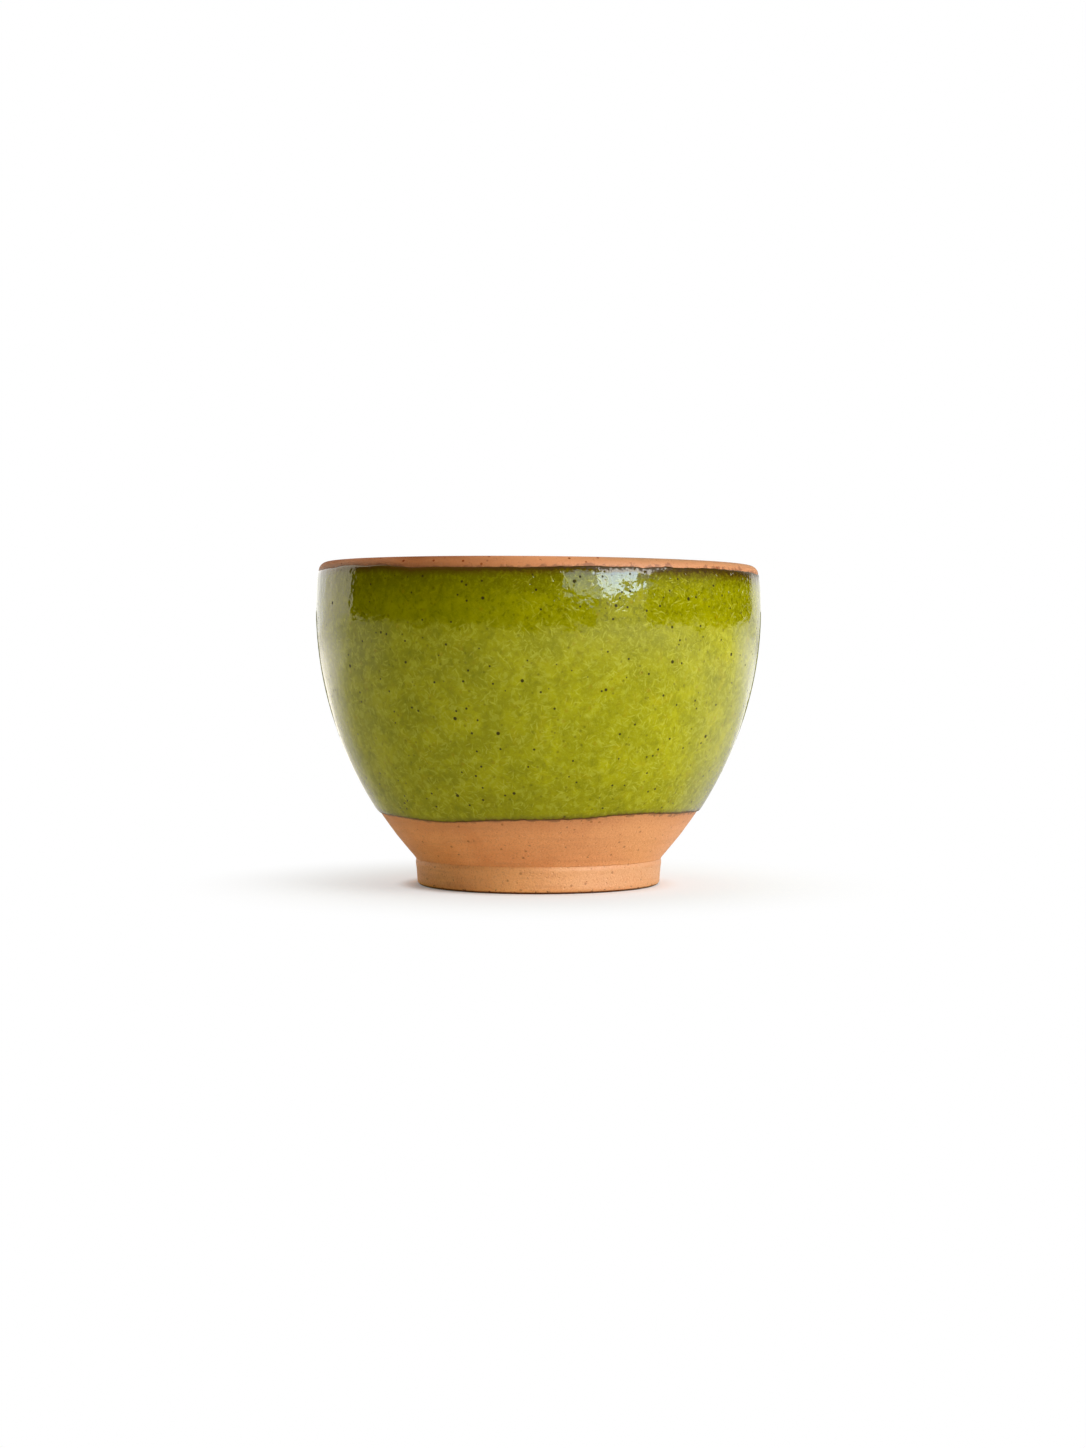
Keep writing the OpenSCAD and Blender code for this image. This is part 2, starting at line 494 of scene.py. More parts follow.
def clay_finish(name, pale, deep, lit_side_sheen):
    """Red clay fired bare, sandy and dry, paled towards the lit right by a painted sheen."""
    material, tree, shader = new_finish(name)
    place = in_mm(tree)
    across = along_axis(tree, place, "X")
    height = along_axis(tree, place, "Z")
    radius = node(tree, "VectorMath", {0: in_mm(tree, (1, 1, 0))},
                  operation="LENGTH").outputs["Value"]
    up = kept(tree, "above_hem")
    down = kept(tree, "below_lip")
    sand = grain(tree, place, 0.4, 3, rough=0.7)
    pale_grains = grain(tree, in_mm(tree, shift=(7, 9, 2)), 0.35, 1)
    cloud = grain(tree, place, 6, 4)
    turning = grain(tree, in_mm(tree, (0.08, 0.08, 1)), 1.1, 3)
    colour = mixed(tree, eased(tree, cloud, 0.35, 0.65), pale, deep)
    # painted sheen: paler and less red towards the right, where the key light falls
    colour = mixed(tree, eased(tree, across, -14, 25, 0, 0.75), colour, lit_side_sheen)
    colour = mixed(tree, eased(tree, turning, 0.45, 0.75, 0, 0.3), colour, turned_clay)
    colour = mixed(tree, eased(tree, sand, 0.45, 0.7, 0, 0.5), colour, brick_sand)
    colour = mixed(tree, eased(tree, pale_grains, 0.6, 0.8, 0, 0.5), colour, light_sand)

    # on the lip the clay is painted darker as shade, most of all on the left, and paler on the right
    # as a painted sheen; beside the glaze it is stained
    upper = eased(tree, up, 0, 5)
    lip_side = times(tree, eased(tree, down, -3, 1, 1, 0), upper)
    lip_colour = mixed(tree, eased(tree, across, -28, 4), lip_left_painted_shade, lip_middle_painted_shade)
    lip_colour = mixed(tree, eased(tree, across, 0, 25), lip_colour, lip_right_painted_sheen)
    colour = mixed(tree, lip_side, colour, lip_colour)
    beside = calc(tree, "MINIMUM", up, down)
    colour = mixed(tree, eased(tree, beside, -5, -0.5, 0, 0.4), colour, stained_clay)
    spread = times(tree, calc(tree, "SUBTRACT", grain(tree, place, 1.4, 3), 0.5),
                   eased(tree, across, -10, 20, 1.5, 4.5))
    stain = calc(tree, "ADD", beside, spread)
    colour = mixed(tree, eased(tree, stain, -0.5, 0.1, 0, 0.7), colour, stain_line)
    browned = times(tree, eased(tree, down, -1.5, 0, 0, 0.5), upper)
    browned = times(tree, browned, eased(tree, across, -35, 8, 1, 0))
    colour = mixed(tree, browned, colour, lip_lower_edge)

    # dark grains of sand, nicks, rubbing and painted contact shadow on the foot's edge, iron specks
    warp = node(tree, "TexNoise", {"Vector": place, "Scale": 2.5, "Detail": 1.0}).outputs["Color"]
    warped = node(tree, "VectorMath", {0: place, 1: warp}, operation="ADD").outputs[0]
    colour = mixed(tree, times(tree, dots(tree, warped, 2.4, 0.2, 0.08), 0.6), colour, dark_grain)
    nicks = times(tree, dots(tree, warped, 1.2, 0.26, 0.06),
                  eased(tree, height, 0.4, 1.4, 0.9, 0))
    colour = mixed(tree, nicks, colour, nick_brown)
    # painted contact shadow, with some real rubbing, darkens the foot's outer edge on the table
    contact_shade_and_rubbing = times(tree, eased(tree, height, 0.3, 0.6, 0.97, 0), eased(tree, radius, *contact_shade_and_rub_r))
    colour = mixed(tree, contact_shade_and_rubbing, colour, contact_shade_and_rub_brown)
    specks = times(tree, dots(tree, in_mm(tree, shift=(3, 8, 1)), 2.8, 0.3, 0.07),
                   eased(tree, lip_side, 0, 0.6, 0.45, 0.9))
    colour = mixed(tree, specks, colour, speck_brown)
    tree.links.new(colour, shader.inputs["Base Color"])

    # dry all over; the lip, the specks and the edge on the table hardly shine
    dry = calc(tree, "ADD", eased(tree, sand, 0.2, 0.8, 0.42, 0.58), times(tree, lip_side, 0.25))
    tree.links.new(dry, shader.inputs["Roughness"])
    sheen = times(tree, eased(tree, height, 0.3, 1.6, 0.1, 1),
                  calc(tree, "SUBTRACT", 1.0, specks))
    sheen = times(tree, eased(tree, lip_side, 0, 1, 0.5, 0.08), sheen)
    tree.links.new(sheen, shader.inputs["Specular IOR Level"])
    shader.inputs["IOR"].default_value = 1.62

    # the surface: sand, turning marks, the slow unevenness of the wheel, and pits
    bump = relief(tree, sand, 0.1)
    bump = relief(tree, turning, 0.07, bump)
    bump = relief(tree, grain(tree, in_mm(tree, (0.3, 0.3, 1)), 2.2, 1), 0.12, bump)
    bump = relief(tree, dots(tree, place, 1.4, 0.2, 0.1), -0.08, bump)
    tree.links.new(bump, shader.inputs["Normal"])
    return material


bowl.data.materials.append(clay_finish(
    "bare_clay", pale=(0.96, 0.38, 0.115, 1), deep=(0.90, 0.33, 0.09, 1),
    lit_side_sheen=(0.84, 0.40, 0.175, 1)))
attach(bowl, "root")
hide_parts("cup_body")


# The foot: a ring of the same clay that carries the bowl. It is turned on the wheel with a low bead
# under the joint, wiped with a sponge, and its edges on the table are rounded.
base_r = foot_r - 0.45
outer_edge_r = 1.0
inner_edge_r = 1.0
hollow_base_r = hollow_r + 0.8
side_lean = 0.28
side_lean_top = 4.8
bead_h = 5.15
bead_rise = 0.09
bead_above = 0.4
bead_below = 1.0
inner_edge_rings = 8
outer_edge_rings = 14
foot_side_rings = 30


def foot_side(height):
    """Radius of the ring's side: it leans out from its edge to a low bead under the joint."""
    lean_out = side_lean * min((height - outer_edge_r) / (side_lean_top - outer_edge_r), 1)
    reach = bead_above if height > bead_h else bead_below
    return base_r + lean_out + bead_rise * math.exp(-((height - bead_h) / reach) ** 2)


foot_heights = [outer_edge_r + (joint_h - outer_edge_r) * k / foot_side_rings
                for k in range(1, foot_side_rings)]
foot_profile = (
    [(hollow_r, joint_h)]
    + [tuple(p) for p in arc((hollow_base_r + inner_edge_r, inner_edge_r), inner_edge_r,
                             180, 270, inner_edge_rings)]
    + [tuple(p) for p in arc((base_r - outer_edge_r, outer_edge_r), outer_edge_r,
                             -90, 0, outer_edge_rings)]
    + [(foot_side(h), h) for h in foot_heights]
    + [(outer_wall.radius(joint_h), joint_h), (hollow_r, joint_h)])
foot = thrown("Turned_foot", foot_profile, turn_steps)
count = len(foot.data.vertices)
keep_on_points(foot, "above_hem", [-no_line] * count)
keep_on_points(foot, "below_lip", [no_line] * count)
foot.data.materials.append(clay_finish(
    "foot_clay", pale=(1.0, 0.48, 0.15, 1), deep=(0.98, 0.44, 0.13, 1),
    lit_side_sheen=(0.66, 0.365, 0.205, 1)))
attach(foot, "root")
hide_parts("foot_ring")


# The outer coat: glaze that the dipped cup carries from the hem up to just under the lip. It lies
# on the wall as a thin skin, rolls over at the hem and runs thin towards the rim, where it burns
# brown.
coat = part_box("outer_glaze")[1].x / mm - belly_r

# How far in from an edge the coat rolls over, with the share of its thickness left at the edge,
# and how far down it is thin, with the share that it lacks there
hem_roll = (1.1, 0.08)
top_roll = (1.6, 0.06)
thin_reach = 12.0
thin_share = 0.5


def skin(name, chosen, thickness, weights):
    """A skin of glaze on the chosen points of the bowl, closed all round."""
    bpy.ops.object.select_all(action="DESELECT")
    bowl.select_set(True)
    bpy.context.view_layer.objects.active = bowl
    bpy.ops.object.mode_set(mode="EDIT")
    bpy.ops.mesh.select_mode(type="FACE")
    bpy.ops.mesh.select_all(action="DESELECT")
    bpy.ops.object.mode_set(mode="OBJECT")
    for face in bowl.data.polygons:
        face.select = all(chosen[v] for v in face.vertices)
    bpy.ops.object.mode_set(mode="EDIT")
    bpy.ops.mesh.duplicate()
    bpy.ops.mesh.separate(type="SELECTED")
    bpy.ops.object.mode_set(mode="OBJECT")
    bpy.ops.object.select_all(action="DESELECT")
    piece = next(o for o in bpy.data.objects if o.name.startswith("Thrown_bowl."))
    piece.name = name
    bpy.context.view_layer.objects.active = piece
    piece.select_set(True)
    hem = [a.value for a in piece.data.attributes["above_hem"].data]
    lip_edge = [a.value for a in piece.data.attributes["below_lip"].data]
    group = piece.vertex_groups.new(name="thickness")
    for k, (up, down) in enumerate(zip(hem, lip_edge)):
        group.add([k], weights(max(up, 0), max(down, 0)), "REPLACE")
    shell = piece.modifiers.new("skin", "SOLIDIFY")
    shell.thickness = thickness * mm
    shell.offset = 1
    shell.vertex_group = "thickness"
    bpy.ops.object.modifier_apply(modifier="skin")
    piece.vertex_groups.clear()
    piece.data.materials.clear()
    return piece


def rolled(distance, reach, edge):
    """Share of the full thickness near an edge that rolls over, from its distance."""
    share = min(distance / reach, 1)
    return edge + (1 - edge) * math.sqrt(1 - (1 - share) ** 2)


def coat_weight(up, down):
    """Share of the coat's thickness at a distance above the hem and below the upper edge."""
    thin = 1 - thin_share * max(1 - down / thin_reach, 0) ** 2
    return rolled(up, *hem_roll) * rolled(down, *top_roll) * thin


def fibres(tree, place, spacing, length, width):
    """Short fine crystals that lie in the glaze, each its own way: 1 on a crystal, 0 beside it."""
    own = node(tree, "TexVoronoi", {"Vector": place, "Scale": 1 / spacing}).outputs
    off = node(tree, "VectorMath", {0: place, 1: own["Position"]}, operation="SUBTRACT").outputs[0]
    way = node(tree, "VectorMath", {0: own["Color"], 1: (0.5, 0.5, 0.5)},
               operation="SUBTRACT").outputs[0]
    face = node(tree, "NewGeometry").outputs["Normal"]
    across = node(tree, "VectorMath", {0: face, 1: way}, operation="CROSS_PRODUCT").outputs[0]
    across = node(tree, "VectorMath", {0: across}, operation="NORMALIZE").outputs[0]
    along = node(tree, "VectorMath", {0: face, 1: across}, operation="CROSS_PRODUCT").outputs[0]
    shares = []
    for line, reach in ((across, width), (along, length)):
        out = node(tree, "VectorMath", {0: off, 1: line}, operation="DOT_PRODUCT").outputs["Value"]
        shares.append(eased(tree, calc(tree, "ABSOLUTE", out), 0.3 * reach, reach, 1, 0))
    return times(tree, *shares)


# Colours of the glaze: its greens from deep to bright and where it lies thin, what lies in it, and
# what it burns to at the lip and at the hem
deep_green = (0.33, 0.325, 0.0, 1)
bright_green = (0.42, 0.405, 0.0, 1)
patch_green = (0.26, 0.265, 0.0, 1)
warm_green = (0.43, 0.35, 0.0, 1)
thin_green = (0.19, 0.185, 0.0, 1)
hem_green = (0.17, 0.17, 0.0, 1)
left_painted_shade_green = (0.08, 0.08, 0.0, 1)
olive = (0.135, 0.125, 0.0, 1)
pool_green = (0.13, 0.125, 0.0, 1)
pale_flake = (0.46, 0.455, 0.035, 1)
pale_crumb = (0.52, 0.51, 0.04, 1)
pale_crystal = (0.58, 0.57, 0.06, 1)
blob_brown = (0.12, 0.10, 0.0, 1)
rust = (0.34, 0.19, 0.0, 1)
iron = (0.03, 0.022, 0.004, 1)
lip_burn = (0.10, 0.062, 0.003, 1)
lip_line_left = (0.12, 0.055, 0.005, 1)
lip_line_right = (0.055, 0.03, 0.004, 1)
hem_burn = (0.13, 0.10, 0.01, 1)
hem_burnt_line = (0.12, 0.055, 0.014, 1)


def glaze_finish(name):
    """Glossy ash glaze: yellow green, clouded and full of pale crystals, burnt where thin."""
    material, tree, shader = new_finish(name)
    place = in_mm(tree)
    elsewhere = in_mm(tree, shift=(5, 3, 8))
    across = along_axis(tree, place, "X")
    up = kept(tree, "above_hem")
    down = kept(tree, "below_lip")
    cloud = grain(tree, place, 8, 3, twist=0.6)
    patch = grain(tree, place, 3.2, 3, twist=0.5, rough=0.6)
    mottle = grain(tree, elsewhere, 1.5, 3, twist=0.7, rough=0.65)
    colour = mixed(tree, eased(tree, cloud, 0.38, 0.62), deep_green, bright_green)
    colour = mixed(tree, eased(tree, patch, 0.42, 0.62, 0, 0.6), colour, patch_green)
    warm = eased(tree, grain(tree, elsewhere, 5, 2, twist=1.0), 0.58, 0.7, 0, 0.3)
    colour = mixed(tree, warm, colour, warm_green)

    # towards the rim and the hem the glaze runs thin and the clay darkens it, and painted shade
    # makes the left a little darker than the right
    colour = mixed(tree, eased(tree, down, 6, 34, 0.5, 0), colour, thin_green)
    colour = mixed(tree, eased(tree, up, 2, 16, 0.3, 0), colour, hem_green)
    colour = mixed(tree, eased(tree, across, -45, 8, 0.18, 0), colour, left_painted_shade_green)
    bites = calc(tree, "SUBTRACT", grain(tree, place, 0.8, 3, rough=0.65), 0.5)
    bites = times(tree, bites, eased(tree, across, -30, 40, 1.2, 3.6))
    lip_depth = calc(tree, "ADD", down, bites)
    olive_depth = times(tree, lip_depth, eased(tree, across, -5, 35, 1.0, 1.75))
    colour = mixed(tree, eased(tree, olive_depth, 1.4, 8.5, 0.85, 0), colour, olive)

    # pale flakes between darker glassy pools, and fine crystals; the band under the lip, where the
    # glaze ran off, stays glassy and has few of them on the left
    body = eased(tree, calc(tree, "ADD", down, times(tree, patch, 4)), 12.6, 14.2)
    pools = times(tree, eased(tree, mottle, 0.32, 0.48, 1, 0),
                  eased(tree, body, 0, 1, 0.65, 0.3))
    colour = mixed(tree, pools, colour, pool_green)
    flakes = times(tree, eased(tree, mottle, 0.5, 0.64, 0, 0.5), eased(tree, body, 0, 1, 0.7, 1))
    colour = mixed(tree, flakes, colour, mixed(tree, body, deep_green, pale_flake))
    crumbs = eased(tree, grain(tree, elsewhere, 0.45, 2, rough=0.7), 0.5, 0.7, 0, 0.3)
    crumbs = times(tree, crumbs, eased(tree, across, -25, 20, 0.3, 1))
    colour = mixed(tree, crumbs, colour, pale_crumb)
    warp = node(tree, "TexNoise", {"Vector": place, "Scale": 0.9, "Detail": 1.0}).outputs["Color"]
    curled = node(tree, "VectorMath", {0: warp, 1: (0.6, 0.6, 0.6), 2: place},
                  operation="MULTIPLY_ADD").outputs[0]
    shifted_on = node(tree, "Mapping", {"Vector": curled, "Location": (4, 9, 3)}).outputs[0]
    crystals = calc(tree, "MAXIMUM", fibres(tree, curled, 2.0, 0.9, 0.17),
                    fibres(tree, shifted_on, 2.7, 1.3, 0.2))
    gathered = times(tree, eased(tree, grain(tree, elsewhere, 4, 2), 0.4, 0.58),
                     calc(tree, "MAXIMUM", body, eased(tree, across, -20, 15)))
    crystals = times(tree, crystals, gathered)
    colour = mixed(tree, times(tree, crystals, 0.38), colour, pale_crystal)

    # brown blobs, rust spots and iron specks
    blobs = calc(tree, "MAXIMUM", dots(tree, elsewhere, 2.2, 0.27, 0.16),
                 times(tree, dots(tree, curled, 1.6, 0.27, 0.15),
                       eased(tree, body, 0, 1, 0.9, 0.35)))
    colour = mixed(tree, times(tree, blobs, 0.55), colour, blob_brown)
    rust_spots = dots(tree, in_mm(tree, shift=(1, 6, 4)), 4.2, 0.4, 0.25)
    colour = mixed(tree, times(tree, rust_spots, 0.3), colour, rust)
    specks = calc(tree, "MAXIMUM", dots(tree, place, 2.6, 0.26, 0.06),
                  dots(tree, elsewhere, 6.6, 0.4, 0.08))
    colour = mixed(tree, times(tree, specks, 0.92), colour, iron)

    # the burnt lines: thin glaze over clay turns brown, more raggedly and wider on the right
    lip_depth = times(tree, lip_depth, eased(tree, across, 5, 35, 1, 0.7))
    colour = mixed(tree, eased(tree, lip_depth, 0.5, 2.2, 0.95, 0), colour, lip_burn)
    lip_line = mixed(tree, eased(tree, across, -35, 10), lip_line_left, lip_line_right)
    colour = mixed(tree, eased(tree, lip_depth, 0.25, 0.95, 0.95, 0), colour, lip_line)
    crusty = times(tree, eased(tree, across, -42, -25), eased(tree, across, 0, 8, 1, 0.8))
    crusty = times(tree, crusty, eased(tree, lip_depth, 0.2, 0.8, 1, 0))
    hem_depth = calc(tree, "ADD", up, times(tree, bites, 0.6))
    colour = mixed(tree, eased(tree, hem_depth, 0.36, 2.16, 0.7, 0), colour, hem_burn)
    at_hem = eased(tree, hem_depth, 0.36, 0.9, 1, 0)
    colour = mixed(tree, times(tree, at_hem, 0.9), colour, hem_burnt_line)
    tree.links.new(colour, shader.inputs["Base Color"])

    # glossy, but for the specks and the burnt lines
    dull = calc(tree, "MAXIMUM", calc(tree, "MAXIMUM", specks, crusty), at_hem)
    shine = eased(tree, grain(tree, place, 0.7, 2, twist=0.4), 0.3, 0.7, 0.02, 0.06)
    roughness = calc(tree, "ADD", shine, times(tree, dull, 0.35))
    tree.links.new(roughness, shader.inputs["Roughness"])
    tree.links.new(eased(tree, dull, 0, 1, 0.5, 0.05), shader.inputs["Specular IOR Level"])
    shader.inputs["IOR"].default_value = 1.55

    # the surface: swells, waves and a fine crust, all higher under the lip, flakes and crystals,
    # and burst bubbles in the thin glaze on the right
    uneven = eased(tree, down, 4, 15, 2.8, 1.0)
    swells = times(tree, grain(tree, place, 4.5, 1), eased(tree, down, 8, 16, 1.8, 1.0))
    bump = relief(tree, swells, 0.065)
    waves = times(tree, grain(tree, elsewhere, 1.8, 1), uneven)
    bump = relief(tree, waves, 0.026, bump)
    bump = relief(tree, calc(tree, "MAXIMUM", crystals, flakes), 0.008, bump)
    crust = times(tree, grain(tree, place, 0.75, 1), uneven)
    bump = relief(tree, crust, 0.007, bump)
    bubbles = times(tree, dots(tree, elsewhere, 1.7, 0.18, 0.14),
                    times(tree, eased(tree, down, 3.5, 8, 1, 0), eased(tree, across, -8, 4)))
    bump = relief(tree, bubbles, -0.15, bump)
    tree.links.new(bump, shader.inputs["Normal"])
    return material


between = [out and up > -hair and down > -hair
           for out, up, down in zip(on_outside, above_hem, below_lip)]
outer_coat = skin("Outer_glaze", between, coat, coat_weight)
outer_coat.data.materials.append(glaze_finish("coat_glaze"))
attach(outer_coat, "root")
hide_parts("outer_glaze")


# The lining: the same glaze, poured into the cup and out again. It covers the inside from just
# under the lip to the middle of the floor, and is thinner towards its edge.
lining = 0.4
lining_roll = (1.4, 0.06)
lining_thin_reach = 7.0
lining_edge_share = 0.55


def lining_weight(up, down):
    """Share of the lining's thickness at a distance below its edge; it has no hem to be above."""
    thin = lining_edge_share + (1 - lining_edge_share) * min(down / lining_thin_reach, 1)
    return rolled(down, *lining_roll) * thin


within = [not out and up > 0 and down > -hair
          for out, up, down in zip(on_outside, above_hem, below_lip)]
inner_coat = skin("Glaze_lining", within, lining, lining_weight)
inner_coat.data.materials.append(glaze_finish("lining_glaze"))
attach(inner_coat, "root")
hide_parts("inner_glaze")


# The table and its surroundings: a white table with its straight front edge half a metre away, a
# white backdrop behind it, and darkness on the camera's side. The glossy glaze mirrors them all.
table_outline = ((-0.33, -0.50), (0.44, -0.53), (4.4, 4.2), (4.4, 7.0), (-6.4, 7.0), (-6.4, 2.6))

# Colours of the table: its own, and those in which the glaze shows it in front on the left and on
# the right, at either side of the cup, and behind it on the left and on the right
white = (1, 1, 1, 1)
matt_white = (0.885, 0.88, 0.87, 1)
front_left_cream = (1.0, 0.97, 0.04, 1)
front_right_cream = (1.0, 0.97, 0.54, 1)
left_cream = (1.0, 0.95, 0.5, 1)
right_near = (1.0, 0.97, 0.88, 1)
right_far = (1.0, 0.97, 0.2, 1)
behind_left_tint = (1.0, 0.95, 0.85, 1)
behind_right_tint = (0.97, 0.96, 1.0, 1)


def blended(tree, share, a, b):
    """Number a with a share of number b."""
    return node(tree, "Mix", {0: share, 2: a, 3: b}).outputs[0]


def mirrored_table(tree, spot, from_cup):
    """How bright and tinted the table glows in the glaze, with painted shade and light on it."""
    to_right = along_axis(tree, spot, "X")
    to_back = along_axis(tree, spot, "Y")
    sideways = calc(tree, "ADD", to_right, times(tree, to_back, 0.5))
    beside = calc(tree, "DIVIDE", to_right, from_cup)
    behind = calc(tree, "DIVIDE", to_back, from_cup)
    on_left = eased(tree, beside, -0.3, 0.3, 1, 0)

    # painted shade: dimmer near the cup and towards the left, most in front; painted light: brighter
    # behind on the left, and beside the cup on the right, where the key lights it
    bright = times(tree, eased(tree, from_cup, 0.05, 0.55, 0.42, 1.3),
                   eased(tree, sideways, -1.1, 0.4, 0.5, 1.2))
    behind_left = times(tree, eased(tree, behind, 0.2, 0.6), on_left)
    bright = times(tree, bright, eased(tree, behind_left, 0, 1, 1.0, 1.5))
    front_left = times(tree, eased(tree, behind, -0.6, -0.25, 1, 0),
                       eased(tree, beside, -0.1, 0.3, 1, 0))
    front_left = times(tree, front_left, eased(tree, from_cup, 0.22, 0.32, 0, 0.2))
    bright = times(tree, bright, calc(tree, "SUBTRACT", 1.0, front_left))
    lit_side = times(tree, eased(tree, beside, 0.5, 0.95),
                     eased(tree, from_cup, 0.08, 0.4, 0.27, 0))
    bright = calc(tree, "ADD", bright, lit_side)
    bright = blended(tree, eased(tree, from_cup, 0.6, 2.4), bright,
                     eased(tree, beside, -0.3, 0.3, 1.45, 0.94))

    # creamy in front, paler to the right and far off
    paler = times(tree, eased(tree, sideways, -0.35, 0.15),
                  eased(tree, from_cup, 0.08, 0.35, 0.25, 1.1))
    tint = mixed(tree, paler, front_left_cream, front_right_cream)
    on_right = mixed(tree, eased(tree, from_cup, 0.12, 0.5), right_near, right_far)
    at_side = mixed(tree, eased(tree, sideways, -0.1, 0.1), left_cream, on_right)
    tint = mixed(tree, eased(tree, behind, -0.45, 0.2), tint, at_side)
    far_side = mixed(tree, on_left, behind_right_tint, behind_left_tint)
    tint = mixed(tree, eased(tree, behind, 0.3, 0.7), tint, far_side)
    return bright, tint


def table_finish():
    """White to the camera with the cup's shadow kept, and toned where the glaze mirrors it."""
    material, tree, shader = new_finish("white_table")
    tree.nodes.remove(shader)
    rays = node(tree, "LightPath").outputs
    spot = node(tree, "TexCoord").outputs["Object"]
    from_cup = node(tree, "VectorMath", {0: spot}, operation="LENGTH").outputs["Value"]
    away = times(tree, eased(tree, from_cup, 0.0275, 0.033, 0.3, 1.0),
                 eased(tree, from_cup, 0.03, 0.085, 0.56, 1.0))
    mirrored = calc(tree, "MAXIMUM", rays["Is Glossy Ray"], rays["Is Transmission Ray"])
    whitened = calc(tree, "MAXIMUM", times(tree, rays["Is Camera Ray"], away),
                    times(tree, mirrored, 0.85))
    bright, tint = mirrored_table(tree, spot, from_cup)
    matt = node(tree, "BsdfDiffuse", {"Color": matt_white}).outputs[0]
    glow = node(tree, "Emission", {
        "Color": mixed(tree, mirrored, white, tint),
        "Strength": blended(tree, mirrored, 1.0, bright)}).outputs[0]
    surface = node(tree, "MixShader", {0: whitened, 1: matt, 2: glow}).outputs[0]
    tree.links.new(surface, tree.nodes["Material Output"].inputs["Surface"])
    return material


def turning_left(corner):
    """Bearing of a corner round the cup, for putting corners in order."""
    return math.atan2(corner[1], corner[0])


bpy.ops.object.select_all(action="DESELECT")
bpy.ops.mesh.primitive_circle_add(vertices=len(table_outline), radius=1, fill_type="NGON")
table = bpy.context.object
table.name = "Table"
corners = sorted(table.data.vertices, key=lambda vertex: turning_left(vertex.co))
for vertex, corner in zip(corners, sorted(table_outline, key=turning_left)):
    vertex.co = (*corner, 0)
table.data.materials.append(table_finish())

# The backdrop reaches round behind the table from one bearing to the other. It is white, and all
# that the camera or clear glass sees is white; what falls on the cup from the left is a little warm.
backdrop_left = math.radians(-111)
backdrop_right = math.radians(141)
warm_fill = (1.0, 0.88, 0.72, 1)
backdrop_side = (1.0, 0.93, 0.74, 1)
backdrop_middle = (1.0, 0.99, 0.95, 1)
world = bpy.data.worlds.new("Studio")
bpy.context.scene.world = world
world.use_nodes = True
tree = world.node_tree
tree.nodes.clear()
way = node(tree, "SeparateXYZ", {0: node(tree, "TexCoord").outputs["Generated"]}).outputs
rays = node(tree, "LightPath").outputs
bearing = calc(tree, "ARCTAN2", way["X"], times(tree, way["Y"], -1))
behind = calc(tree, "MAXIMUM", calc(tree, "LESS_THAN", bearing, backdrop_left),
              calc(tree, "GREATER_THAN", bearing, backdrop_right))
in_front = times(tree, eased(tree, way["X"], -0.8, 1.0, 0.02, 0.2),
                 calc(tree, "SUBTRACT", 1.0, rays["Is Glossy Ray"]))
brighter = times(tree, rays["Is Glossy Ray"], eased(tree, way["X"], -0.3, 0.3, 0.4, 0.1))
level = blended(tree, behind, in_front, calc(tree, "ADD", 1.0, brighter))
seen = calc(tree, "MAXIMUM", rays["Is Camera Ray"], rays["Is Transmission Ray"])
level = blended(tree, seen, level, 1.0)
cast = mixed(tree, eased(tree, way["X"], -0.6, 0.3), warm_fill, white)
in_glaze = mixed(tree, eased(tree, way["Y"], 0.65, 0.92), backdrop_side, backdrop_middle)
cast = mixed(tree, rays["Is Glossy Ray"], cast, in_glaze)
cast = mixed(tree, seen, cast, white)
sky = node(tree, "Background", {"Color": cast, "Strength": level}).outputs[0]
tree.links.new(sky, node(tree, "OutputWorld").inputs["Surface"])


# The light: a soft key from the right, a wide soft lamp overhead, and the lower part of a window
# that the glaze mirrors, bright between slanting sides, with dimmer panes and a pale sill
def soft_lamp(name, size, brightness, bearing, rise, distance):
    """A square lamp aimed at the cup, with its brightness given as the white that it shows."""
    light = bpy.data.lights.new(name, "AREA")
    light.shape = "SQUARE"
    light.size = size
    light.energy = brightness * math.pi * size * size
    lamp = bpy.data.objects.new(name, light)
    bpy.context.scene.collection.objects.link(lamp)
    turn, tip = math.radians(bearing), math.radians(rise)
    out = distance * math.cos(tip)
    lamp.location = (out * math.sin(turn), -out * math.cos(turn), distance * math.sin(tip))
    lamp.rotation_euler = (math.pi / 2 - tip, 0, turn)


soft_lamp("key", size=0.8, brightness=7.6, bearing=53, rise=31, distance=1.3)
soft_lamp("overhead", size=1.2, brightness=1.0, bearing=0, rise=89, distance=1.3)


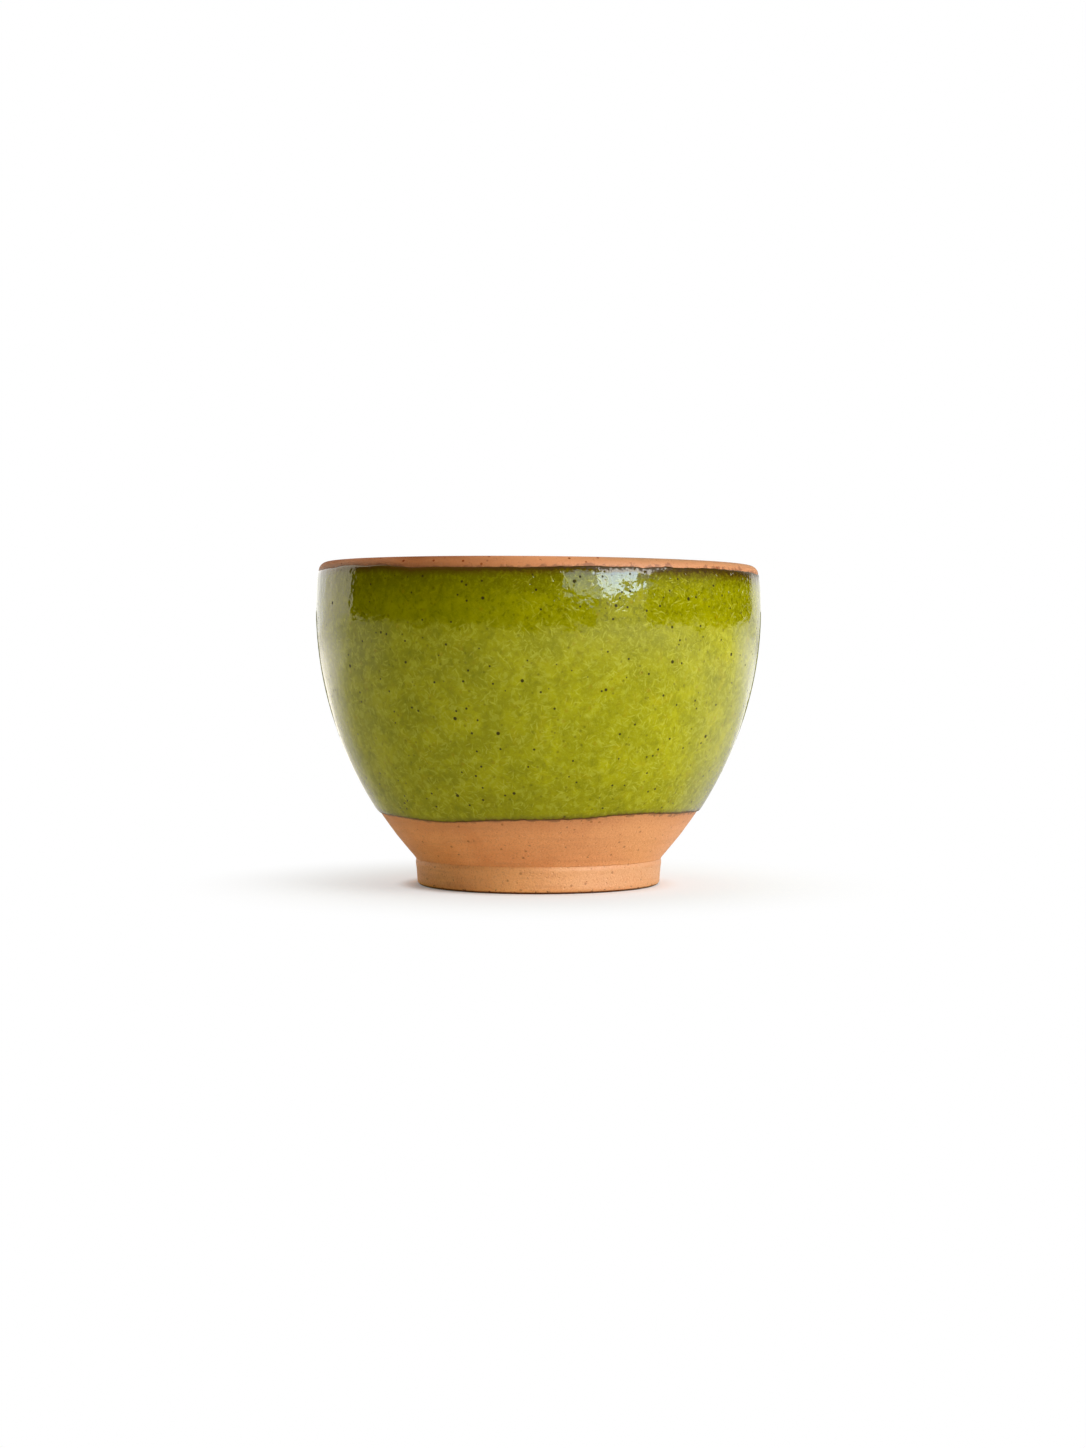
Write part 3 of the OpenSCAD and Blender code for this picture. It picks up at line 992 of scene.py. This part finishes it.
def card(name, distance, corners, colour, brightness):
    """A flat card that only mirrored rays see, from corners given as bearing and height."""
    bpy.ops.object.select_all(action="DESELECT")
    bpy.ops.mesh.primitive_plane_add(size=1)
    made = bpy.context.object
    made.name = name
    # a plane counts its corners row by row, and these go round it
    for k, (bearing, height) in zip((0, 1, 3, 2), corners):
        turn = math.radians(bearing)
        made.data.vertices[k].co = (distance * math.sin(turn), -distance * math.cos(turn), height)
    made.visible_camera = made.visible_diffuse = made.visible_shadow = False
    finish, tree, shader = new_finish(name)
    tree.nodes.remove(shader)
    glow = node(tree, "Emission", {"Color": colour, "Strength": brightness})
    tree.links.new(glow.outputs[0], tree.nodes["Material Output"].inputs["Surface"])
    made.data.materials.append(finish)


daylight = (0.72, 0.9, 1.06, 1)
cool_daylight = (0.73, 0.94, 1.14, 1)
dim_daylight = (0.72, 0.91, 1.0, 1)
sill_cream = (1, 1, 0.7, 1)
dark_green = (0.12, 0.12, 0.02, 1)
card("bright_pane", 1.2, ((31.3, 0.154), (38.5, 0.154), (41, 0.34), (26.3, 0.34)), daylight, 10.0)
card("bright_pane", 1.2, ((37.5, 0.19), (50, 0.195), (52, 0.34), (38, 0.34)), cool_daylight, 10.5)
card("dim_pane", 1.3, ((14, 0.173), (30, 0.116), (27, 0.45), (12.5, 0.45)), dim_daylight, 2.5)
card("dim_pane", 1.2, ((50, 0.19), (59, 0.19), (61, 0.34), (52, 0.34)), dim_daylight, 1.2)
card("wall", 1.25, ((58.5, 0.17), (100, 0.17), (100, 0.5), (58.5, 0.5)), daylight, 0.145)
card("sill", 1.25, ((27, -0.06), (56, -0.06), (54, 0.19), (30, 0.13)), sill_cream, 0.75)

# two low dark cards behind the cup darken its outline in the glaze
for side in (-1, 1):
    near, far = 180 - side * 10, 180 - side * 20
    card("dark_card", 0.56, ((near, 0), (far, 0), (far, 0.072), (near, 0.072)), dark_green, 1.0)


# The camera: where the photograph was taken from, worked out from how the rim, the hem and the
# foot look in its frame
frame_w, frame_h = 1086, 1448
focal_px = 2460
horizon_px = 660
axis_px = 538.5
eye = (0, -0.5557, 0.0505)
lens = bpy.data.cameras.new("Camera")
lens.sensor_width = 36
lens.lens = lens.sensor_width * focal_px / frame_h
camera = bpy.data.objects.new("Camera", lens)
bpy.context.scene.collection.objects.link(camera)
camera.location = eye
camera.rotation_euler = (
    math.pi / 2 - math.atan((frame_h / 2 - horizon_px) / focal_px), 0,
    -math.atan((frame_w / 2 - axis_px) / focal_px))
bpy.context.scene.camera = camera
bpy.context.scene.view_settings.view_transform = "Standard"
